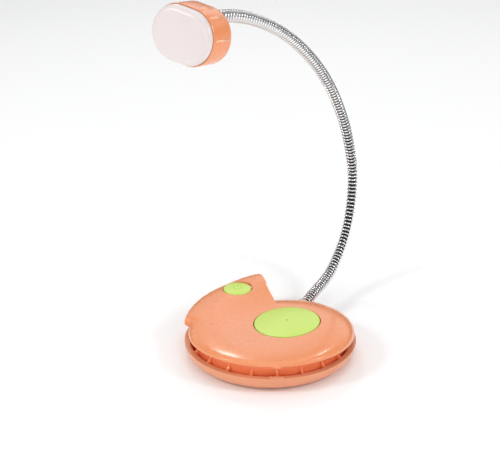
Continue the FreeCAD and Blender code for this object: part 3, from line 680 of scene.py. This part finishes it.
def makeCentreCap():
    # the cap sits tilted with the shell; at its centre a dark olive dot is painted shade, standing
    # in for the small hole its moulding gate left
    u, c = upperJaw, capSpec
    tilt = math.atan(u["capRise"] / u["capEdge"])
    seat = Matrix.Translation(Vector((u["discCentre"] * mm, 0, u["capHeight"] * mm)))
    seat = seat @ Matrix.Rotation(-tilt, 4, "Y")
    radius = (u["capEdge"] - c["gap"]) * mm
    form = roundedDisc(radius, c["foot"] * mm, c["top"] * mm, c["edge"] * mm, c["crown"] * mm)
    cap = lathe("centreCapDisc", form, seat, "limePlastic", 128)
    sharpByAngle(cap, 50.0)
    finishPiece(cap, "upper_jaw", "lime_plastic", "centre_cap")
    form = roundedDisc(c["gateRadius"] * mm, c["gateFoot"] * mm, c["gateTop"] * mm,
                       c["gateEdge"] * mm, c["gateCrown"] * mm)
    gate = lathe("centreCapGate", form, seat, "gateHoleShade", 24)
    finishPiece(gate, "upper_jaw", "lime_plastic")


def makeButton():
    b = buttonSpec
    foot = [(discForm["axisRadius"] * mm, b["flangeFoot"] * mm),
            (b["flange"] * mm, b["flangeFoot"] * mm),
            (b["flange"] * mm, b["flangeTop"] * mm), (b["radius"] * mm, b["waist"] * mm)]
    top = roundedDisc(b["radius"] * mm, b["side"] * mm, b["lift"] * mm - b["crown"] * mm,
                      b["edge"] * mm, b["crown"] * mm)
    button = lathe("powerButtonCap", foot + top[1:], buttonPlace(), "limePlastic")
    sharpByAngle(button, 50.0)
    finishPiece(button, "button", "lime_plastic", "power_button")
    centre = buttonPlace() @ Vector((0, 0, (b["lift"] - b["markSink"]) * mm))
    for mark in powerMark(centre, b):
        finishPiece(mark, "button", "lime_plastic")


def makeUpperJaw():
    shell = upperShell()
    rimTab()
    b = buttonSpec
    cutHole(shell, Vector((b["x"] * mm, b["y"] * mm, b["holeFoot"] * mm)), Vector((0, 0, 1)),
            (b["radius"] + b["gap"]) * mm, b["holeDepth"] * mm)
    sharpByAngle(shell, 38.0)
    finishPiece(shell, "upper_jaw", "coral_plastic", "upper_shell")
    makeCentreCap()
    makeButton()
    print("upper jaw made")


def refined(name, node, material, degrees):
    # a merged, smooth-shaded copy of a CAD node's mesh
    piece = bpy.data.objects.new(name, nodes[node].data.copy())
    collection.objects.link(piece)
    piece.data.materials.clear()
    piece.data.materials.append(materials[material])
    work = bmesh.new()
    work.from_mesh(piece.data)
    bmesh.ops.remove_doubles(work, verts=work.verts, dist=1e-6)
    bmesh.ops.dissolve_limit(work, angle_limit=math.radians(1.0), verts=work.verts,
                             edges=work.edges)
    work.to_mesh(piece.data)
    work.free()
    for polygon in piece.data.polygons:
        polygon.material_index = 0
    sharpByAngle(piece, degrees)
    return piece


plainParts = {
    "battery_door": "coralPlastic", "jaw_cover": "coralInner", "upper_plate": "coralInner",
    "switch_cover": "coralInner", "grip_pad_lower": "rubber", "grip_pad_upper": "rubber",
    "door_screw": "plainSteel", "plate_screws": "plainSteel", "hinge_pin": "plainSteel",
    "hinge_spring": "plainSteel", "coin_cells": "cellSteel", "contact_plus": "brassTin",
    "contact_minus": "brassTin", "cell_link": "brassTin", "circuit_board": "solderMask",
    "led_board": "solderMask", "tact_switch": "blackPlastic", "neck_collar": "brassTin",
    "head_reflector": "whitePlastic", "leds": "phosphor",
}


def paintNode(node, material):
    mesh = nodes[node].data
    if not mesh.materials:
        mesh.materials.append(materials[material])
    for slot in nodes[node].material_slots:
        slot.material = materials[material]


def makePlainParts():
    for node, material in plainParts.items():
        paintNode(node, material)
    shell = refined("lowerShellMoulding", "lower_shell", "coralDish", 30.0)
    finishPiece(shell, "lower_jaw", "coral_plastic", "lower_shell")
    print("plain parts painted:", len(plainParts))


neckSpec = {"exit": (18.8, 34.9, 10.4), "end": (-22.97, -55.63, 165.27), "radius": 2.57,
            "pitchStart": 1.7, "pitchEnd": 2.4, "wireShare": 0.29, "core": 1.85,
            "coreSides": 16, "coreRow": 0.7, "insideShell": 9.0, "samples": 40,
            "lead": 10.0, "overshoot": 0.4, "tangentStep": 0.4}


def neckJoints():
    names = [name for name in joints if name.startswith("neck_")]
    return [joints[name] for name in sorted(names, key=lambda name: int(name.split("_")[-1]))]


def neckCurve():
    # fine samples of a smooth line through the joints, with the distance along it
    s = neckSpec
    spots = [Vector(s["exit"]) * mm] + [Vector(j["pos_m"]) for j in neckJoints()]
    spots.append(Vector(s["end"]) * mm)
    inward = (spots[0] - spots[1]).normalized()
    start = spots[0] + inward * s["insideShell"] * mm
    controls = [start + inward * (s["lead"] * mm)] + [start] + spots
    controls.append(spots[-1] + (spots[-1] - spots[-2]) * s["overshoot"])
    points = []
    for k in range(1, len(controls) - 2):
        p0, p1, p2, p3 = controls[k - 1:k + 3]
        for t in np.linspace(0, 1, s["samples"], endpoint=False):
            points.append(0.5 * ((2 * p1) + (p2 - p0) * t + (2 * p0 - 5 * p1 + 4 * p2 - p3) * t ** 2
                                 + (3 * p1 - p0 - 3 * p2 + p3) * t ** 3))
    points.append(controls[-2])
    line = np.array([tuple(p) for p in points])
    along = np.concatenate([[0.0], np.cumsum(np.linalg.norm(np.diff(line, axis=0), axis=1))])
    return line, along


def pointAt(line, along, distance):
    return Vector([float(np.interp(distance, along, line[:, axis])) for axis in range(3)])


def tangentAt(line, along, distance):
    step = neckSpec["tangentStep"] * mm
    ahead, behind = (pointAt(line, along, distance + way * step) for way in (1, -1))
    return (ahead - behind).normalized()


def tubeRows(line, along, start, end):
    # rings round the core; side is any direction that the neck never runs along
    s = neckSpec
    rows = []
    count = max(int((end - start) / (s["coreRow"] * mm)), 2)
    side = Vector((0.9, -0.4, 0.1))
    for distance in np.linspace(start, end, count):
        centre, way = pointAt(line, along, distance), tangentAt(line, along, distance)
        first = (side - way * side.dot(way)).normalized()
        second = way.cross(first)
        rows.append(circlePoints(centre, first, second, s["core"] * mm, s["coreSides"]))
    return rows


def pitchAt(distance, length):
    # the winding opens up towards the head
    s = neckSpec
    return (s["pitchStart"] + (s["pitchEnd"] - s["pitchStart"]) * distance / length) * mm


def windingPlaces(length):
    places = [0.5 * pitchAt(0.0, length)]
    while places[-1] < length:
        places.append(places[-1] + pitchAt(places[-1], length))
    return places[:-1]


def makeNeck():
    s = neckSpec
    line, along = neckCurve()
    hinges = neckJoints()
    centres = [Vector(j["pos_m"]) for j in hinges]
    jointAlong = [float(along[np.argmin(np.linalg.norm(line - np.array(c), axis=1))])
                  for c in centres]
    stops = [s["insideShell"] * mm] + jointAlong + [float(along[-1])]
    middles = [(stops[k] + stops[k + 1]) / 2 for k in range(len(stops) - 1)]
    edges = [0.0] + middles + [float(along[-1])]
    turns = windingPlaces(along[-1])
    for k in range(len(edges) - 1):
        low, high = edges[k], edges[k + 1]
        mine = [d for d in turns if low <= d < high]
        wire = s["wireShare"] * pitchAt((low + high) / 2, along[-1])
        coil = repeated("neckWinding%d" % k, [pointAt(line, along, d) for d in mine],
                        [tangentAt(line, along, d) for d in mine], windingTree,
                        {"Turn radius": s["radius"] * mm - wire, "Wire radius": wire}, "chrome")
        # the core's near-black colour is painted shade for the gaps between the turns
        vertices, faces = grid(tubeRows(line, along, low, high), True, True)
        core = recalcOutward(addMesh("neckCore%d" % k, vertices, faces, "neckCore"))
        for piece in (coil, core):
            if k == 0:
                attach(piece, "upper_jaw")
            elif k == len(edges) - 2:
                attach(piece, "head")
            else:
                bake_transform(piece)
        link = "neck_%d" % (k + 1)
        if link in nodes:
            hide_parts(link)
            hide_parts(link.replace("neck_", "neck_leads_"))
    print("neck made:", len(turns), "turns")


# rim and lensSkirt are insets from the side with heights over the housing's rim
headSpec = {"entryRise": 5.42, "radius": 10.6, "halfFlat": 3.0, "depth": 12.0,
            "heading": -124.4, "rise": 7.1, "roll": -9.3, "wall": 1.4, "backEdge": 2.4,
            "axisRadius": 0.5, "flatRadius": 4.0, "arcSteps": 48,
            "rim": ((0.0, -0.6), (0.06, -0.18), (0.2, 0.0), (0.34, -0.05), (0.40, -0.3),
                    (0.40, -1.3)),
            "lensInset": 0.42, "lensHeight": 3.1, "lensEdge": 2.5, "lensFoot": -1.2,
            "lensSkirt": ((0.1, -1.2), (0.1, -0.1), (0.0, 0.25)),
            "lensFlat": 2.0, "lensCrown": (0.12, 0.2, 0.22),
            "ridgeRadius": 0.50, "ridgeLength": 7.4, "ridgeStart": 1.2, "ridgeSink": 0.10,
            "ridges": (84, 56, 9)}


def headPlace():
    h = headSpec
    heading, rise, roll = (math.radians(h[k]) for k in ("heading", "rise", "roll"))
    front = Vector((math.cos(rise) * math.cos(heading), math.cos(rise) * math.sin(heading),
                    math.sin(rise)))
    level = Vector((0, 0, 1)).cross(front).normalized()
    upright = front.cross(level)
    longSide = level * math.cos(roll) + upright * math.sin(roll)
    shortSide = front.cross(longSide)
    turn = Matrix((longSide, shortSide, front)).transposed().to_4x4()
    rim = Vector(neckSpec["end"]) - shortSide * h["entryRise"] + front * h["depth"]
    return Matrix.Translation(rim * mm) @ turn


def stadiumRow(place, radius, height):
    # two half circles with flat sides between them
    half = headSpec["halfFlat"] * mm
    points = []
    for side in (1, -1):
        for a in np.linspace(-0.5 * math.pi, 0.5 * math.pi, headSpec["arcSteps"]):
            x = side * (half + max(radius, 0.0) * math.cos(a))
            points.append(place @ Vector((x, side * radius * math.sin(a), height)))
        for t in (0.25, 0.5, 0.75):
            points.append(place @ Vector((side * half * (1 - 2 * t), side * radius, height)))
    return points


def stadiumForm(name, profile, place, material):
    rows = [stadiumRow(place, radius * mm, height * mm) for radius, height in profile]
    vertices, faces = grid(rows, True, True)
    return recalcOutward(addMesh(name, vertices, faces, material))


def arcProfile(radius, height, edge, towards, steps=8):
    # quarter-round from the side into the end face; towards is +1 for up, -1 for down
    return [(radius - edge + edge * math.cos(a),
             height - towards * edge + towards * edge * math.sin(a))
            for a in np.linspace(0, 0.5 * math.pi, steps)]


def makeHousing(place):
    h = headSpec
    r, d, wall, axis = h["radius"], h["depth"], h["wall"], h["axisRadius"]
    back = arcProfile(r, -d, h["backEdge"], -1)[::-1]
    profile = [(axis, -d), (h["flatRadius"], -d)] + back
    profile += [(r - inset, height) for inset, height in h["rim"]]
    profile += [(r - wall, -wall), (r - wall, -d + wall), (axis, -d + wall)]
    housing = stadiumForm("headHousingShell", profile, place, "coralPlastic")
    sharpByAngle(housing, 40.0)
    finishPiece(housing, "head", "coral_plastic", "head_housing")


def makeLens(place):
    h = headSpec
    radius, top, edge = h["radius"] - h["lensInset"], h["lensHeight"], h["lensEdge"]
    profile = [(h["axisRadius"], h["lensFoot"])]
    profile += [(radius - inset, height) for inset, height in h["lensSkirt"]]
    profile += arcProfile(radius, top, edge, 1, 12)[1:]
    crownRadii = (radius - edge - h["lensFlat"], h["flatRadius"], h["axisRadius"])
    profile += [(across, top + rise) for across, rise in zip(crownRadii, h["lensCrown"])]
    lens = stadiumForm("headLensCap", profile, place, "frostedLens")
    sharpByAngle(lens, 50.0)
    finishPiece(lens, "head", "frosted_lens", "head_lens")


def makeRidges(place):
    # slim grip ridges along the housing's side, the same on both sides; their lighter coral is a
    # painted highlight
    h = headSpec
    r, length = h["radius"] - h["ridgeSink"], h["ridgeLength"]
    spots, ways = [], []
    front = (place.to_3x3() @ Vector((0, 0, 1))).normalized()
    for side in (1, -1):
        for degrees in h["ridges"]:
            a = math.radians(degrees)
            spot = Vector((side * (h["halfFlat"] + r * math.cos(a)), side * r * math.sin(a),
                           -h["ridgeStart"] - length / 2))
            spots.append(place @ (spot * mm))
            ways.append(front)
    sizes = {"Ridge radius": h["ridgeRadius"] * mm, "Ridge length": length * mm}
    ridges = repeated("headGripRidges", spots, ways, ridgeTree, sizes, "coralRidgeHighlight")
    finishPiece(ridges, "head", "coral_plastic")


def makeHead():
    place = headPlace()
    makeHousing(place)
    makeLens(place)
    makeRidges(place)
    collar = refined("headCollarSleeve", "head_collar", "plainSteel", 35.0)
    finishPiece(collar, "head", "collar_metal", "head_collar")
    print("head made")


cameraSpec = {"distance": 600.0, "elevation": 27.34, "aimHeight": 7.0, "focal": 1346.3,
              "spotX": 270.2, "spotY": 337.6, "width": 500.0, "height": 460.0,
              "sensor": 36.0, "nearest": 0.01}


def makeCamera():
    c = cameraSpec
    elevation = math.radians(c["elevation"])
    position = Vector((0, -math.cos(elevation), math.sin(elevation))) * c["distance"] * mm
    position += Vector((0, 0, c["aimHeight"] * mm))
    data = bpy.data.cameras.new("studioCamera")
    camera = bpy.data.objects.new("studioCamera", data)
    collection.objects.link(camera)
    data.sensor_width = c["sensor"]
    data.lens = c["sensor"] * c["focal"] / c["width"]
    data.clip_start = c["nearest"]
    across = (c["spotX"] - c["width"] / 2) / c["focal"]
    down = (c["spotY"] - c["height"] / 2) / c["focal"]
    aim = Vector((0, 0, c["aimHeight"] * mm)) - position
    turn = aim.to_track_quat("-Z", "Y").to_matrix() @ Matrix.Rotation(math.atan(down), 3, "X")
    turn = turn @ Matrix.Rotation(math.atan(across), 3, "Y")
    camera.matrix_world = Matrix.Translation(position) @ turn.to_4x4()
    bpy.context.scene.camera = camera
    bpy.context.scene.view_settings.view_transform = "Standard"


def makeStage():
    size = 3.0
    corners = [(-size, -size, 0), (size, -size, 0), (size, size, 0), (-size, size, 0)]
    floor = addMesh("paleFloor", corners, [(0, 1, 2, 3)], "floorPaper", smooth=False)


def areaLight(name, position, size, power):
    data = bpy.data.lights.new(name, "AREA")
    data.shape = "RECTANGLE"
    data.size, data.size_y = size
    data.energy = power
    lamp = bpy.data.objects.new(name, data)
    collection.objects.link(lamp)
    lamp.location = position
    aim = Vector(lightTarget) - Vector(position)
    lamp.rotation_euler = aim.to_track_quat("-Z", "Y").to_euler()


# each light's place, size and power; the two sparks make the glints on the front shoulder
lightTarget = (0.0, 0.0, 0.03)
lights = {
    "keyLeft": ((-0.62, -0.20, 0.50), (0.16, 0.18), 1.5),
    "keyRight": ((0.62, -0.20, 0.50), (0.14, 0.16), 1.2),
    "sparkLeft": ((-0.16, 0.63, 0.61), (0.10, 0.10), 0.50),
    "sparkRight": ((0.275, 0.48, 0.70), (0.09, 0.09), 0.38),
    "overhead": ((-0.05, 0.10, 1.0), (0.9, 0.9), 1.7),
    "frontFill": ((0.05, -1.2, 0.35), (0.9, 0.5), 3.6),
    "backRim": ((0.25, 0.85, 0.55), (0.7, 0.4), 0.5),
}

# what shiny things mirror, from straight down, 0, to straight up, 1
studioBands = [(0.0, (0.5, 0.5, 0.5, 1)), (0.49, (0.5, 0.5, 0.5, 1)), (0.52, (0.03, 0.03, 0.03, 1)),
               (0.62, (0.04, 0.04, 0.04, 1)), (0.67, (0.8, 0.8, 0.8, 1)),
               (0.75, (0.7, 0.7, 0.7, 1)), (0.80, (0.10, 0.10, 0.10, 1)),
               (1.0, (0.35, 0.35, 0.35, 1))]
skyColour = (0.56, 0.565, 0.57, 1)


def makeLights():
    for name, (position, size, power) in lights.items():
        areaLight(name, position, size, power)
    world = bpy.data.worlds.new("studioWorld")
    bpy.context.scene.world = world
    world.use_nodes = True
    tree = Tree(world.node_tree)
    way = tree.node("ShaderNodeTexCoord", {}, {}, "Generated")
    height = tree.node("ShaderNodeSeparateXYZ", {}, [way], 2)
    bands = tree.node("ShaderNodeValToRGB", {"stops": studioBands}, [height * 0.5 + 0.5])
    shiny = tree.node("ShaderNodeLightPath", {}, {}, "Is Glossy Ray")
    sky = tree.mix(shiny, skyColour, bands)
    background = world.node_tree.nodes["Background"]
    world.node_tree.links.new(sky.link, background.inputs["Color"])
    print("lights made:", len(lights))


makeCamera()
makeStage()
makeLights()
makeUpperJaw()
makePlainParts()
makeNeck()
makeHead()
